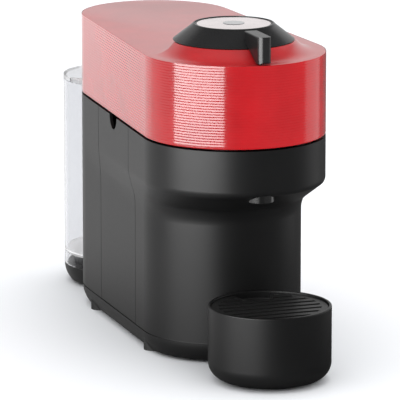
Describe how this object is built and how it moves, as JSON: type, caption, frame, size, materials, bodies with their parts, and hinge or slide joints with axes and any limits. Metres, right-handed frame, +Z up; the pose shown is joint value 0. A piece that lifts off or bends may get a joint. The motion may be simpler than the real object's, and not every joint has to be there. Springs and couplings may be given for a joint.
{
  "type": "pod coffee machine",
  "caption": "Compact pod coffee machine: ribbed red brewing head that tips up, locking lever with brew button, clear rear water tank, used-capsule bin and a free-standing round cup support.",
  "frame": {"origin": "Centre of the overall box, on the table plane.", "axes": "+Z up; -Y is the front, towards the cup support; +Y the rear, towards the tank; +X the right-hand side for someone who looks along +Y from the front."},
  "size_m": [0.136, 0.426, 0.25],
  "materials": {
    "red_gloss": "glossy red with fine ribs",
    "charcoal": "fine matte charcoal texture",
    "deck_black": "plain black",
    "knob_black": "satin black",
    "lock_grey": "plain grey",
    "button_silver": "satin silver",
    "badge_polish": "polished",
    "guide_smoke": "smoked",
    "tank_clear": "clear plastic",
    "tank_frost": "frosted",
    "rubber_black": "matte rubber",
    "hose_clear": "translucent silicone",
    "steel": "plain steel",
    "heater_alloy": "as cast",
    "board_green": "green laminate"
  },
  "bodies": {
    "machine": {"base_pan": "charcoal", "base_deck": "deck_black", "base_screws": "steel", "cord_gland": "deck_black", "foot_front_left": "rubber_black", "foot_front_right": "rubber_black", "foot_rear_left": "rubber_black", "foot_rear_right": "rubber_black", "front_housing": "charcoal", "rear_housing": "charcoal", "brew_deck": "deck_black", "rear_deck": "deck_black", "coffee_collector": "deck_black", "coffee_spout": "knob_black", "motor_bracket": "deck_black", "motor_can": "steel", "lower_bearing": "steel", "upper_bearing": "steel", "hinge_bracket": "lock_grey", "inlet_socket": "deck_black", "tank_hose": "hose_clear", "flow_meter": "lock_grey", "pump_hose": "hose_clear", "pump": "steel", "pump_mount_lower": "rubber_black", "pump_mount_upper": "rubber_black", "heater": "heater_alloy", "heater_hose": "hose_clear", "control_board": "board_green"},
    "head": {"head_shell": "red_gloss", "head_chassis": "deck_black", "chassis_screws": "steel", "hinge_pin": "steel", "brew_head_body": "lock_grey", "head_bearing": "steel", "lever_bush": "lock_grey", "switch_board": "board_green", "light_guide": "guide_smoke", "button_spring": "steel"},
    "lever": {"lever_ring": "knob_black", "lock_ring": "lock_grey"},
    "button": {"button_disc": "button_silver", "button_badge": "badge_polish"},
    "spinner": {"capsule_holder": "deck_black", "drive_shaft": "steel", "motor_rotor": "steel"},
    "brew_spinner": {"brew_plate": "steel", "brew_seal": "rubber_black"},
    "bin": {"capsule_bin": "charcoal"},
    "tank": {"water_tank": "tank_clear", "tank_bridge": "tank_frost", "lid_pins": "steel", "tank_valve": "tank_frost", "valve_seal": "rubber_black"},
    "lid": {"tank_lid": "tank_clear"},
    "cup_support": {"cup_shell": "charcoal", "cup_ring": "rubber_black"},
    "tray": {"drip_tray": "deck_black"},
    "grid": {"drip_grid": "deck_black"}
  },
  "joints": [
    {"name": "head_hinge", "type": "hinge", "parent": "machine", "child": "head", "pos_m": [0, 0.1347, 0.174], "axis": [-1, 0, 0], "range_deg": [0, 55]},
    {"name": "lever_turn", "type": "hinge", "parent": "head", "child": "lever", "pos_m": [0, -0.0902, 0.238], "axis": [0, 0, 1], "range_deg": [0, 45]},
    {"name": "button_press", "type": "slide", "parent": "head", "child": "button", "axis": [0, 0, -1], "range_m": [0, 0.0015], "stiffness_N_per_m": 400, "springref_m": -0.004, "deforming": ["button_spring"]},
    {"name": "capsule_spin", "type": "hinge", "parent": "machine", "child": "spinner", "pos_m": [0, -0.0902, 0.12], "axis": [0, 0, 1], "continuous": true},
    {"name": "plate_spin", "type": "hinge", "parent": "head", "child": "brew_spinner", "pos_m": [0, -0.0902, 0.162], "axis": [0, 0, 1], "continuous": true},
    {"name": "bin_slide", "type": "slide", "parent": "machine", "child": "bin", "axis": [-1, 0, 0], "range_m": [0, 0.14]},
    {"name": "tank_lift", "type": "slide", "parent": "machine", "child": "tank", "axis": [0, 0, -1], "range_m": [-0.09, 0]},
    {"name": "lid_flip", "type": "hinge", "parent": "tank", "child": "lid", "pos_m": [0, 0.1551, 0.16665], "axis": [-1, 0, 0], "range_deg": [-85, 0]},
    {"name": "cup_slide", "type": "slide", "parent": "machine", "child": "cup_support", "axis": [0, -1, 0], "range_m": [0, 0.1]},
    {"name": "tray_lift", "type": "slide", "parent": "cup_support", "child": "tray", "axis": [0, 0, 1], "range_m": [0, 0.045]},
    {"name": "grid_lift", "type": "slide", "parent": "tray", "child": "grid", "axis": [0, 0, 1], "range_m": [0, 0.03]}
  ],
  "couplings": [
    {"joint": "plate_spin", "follows": "capsule_spin", "ratio": 1}
  ]
}
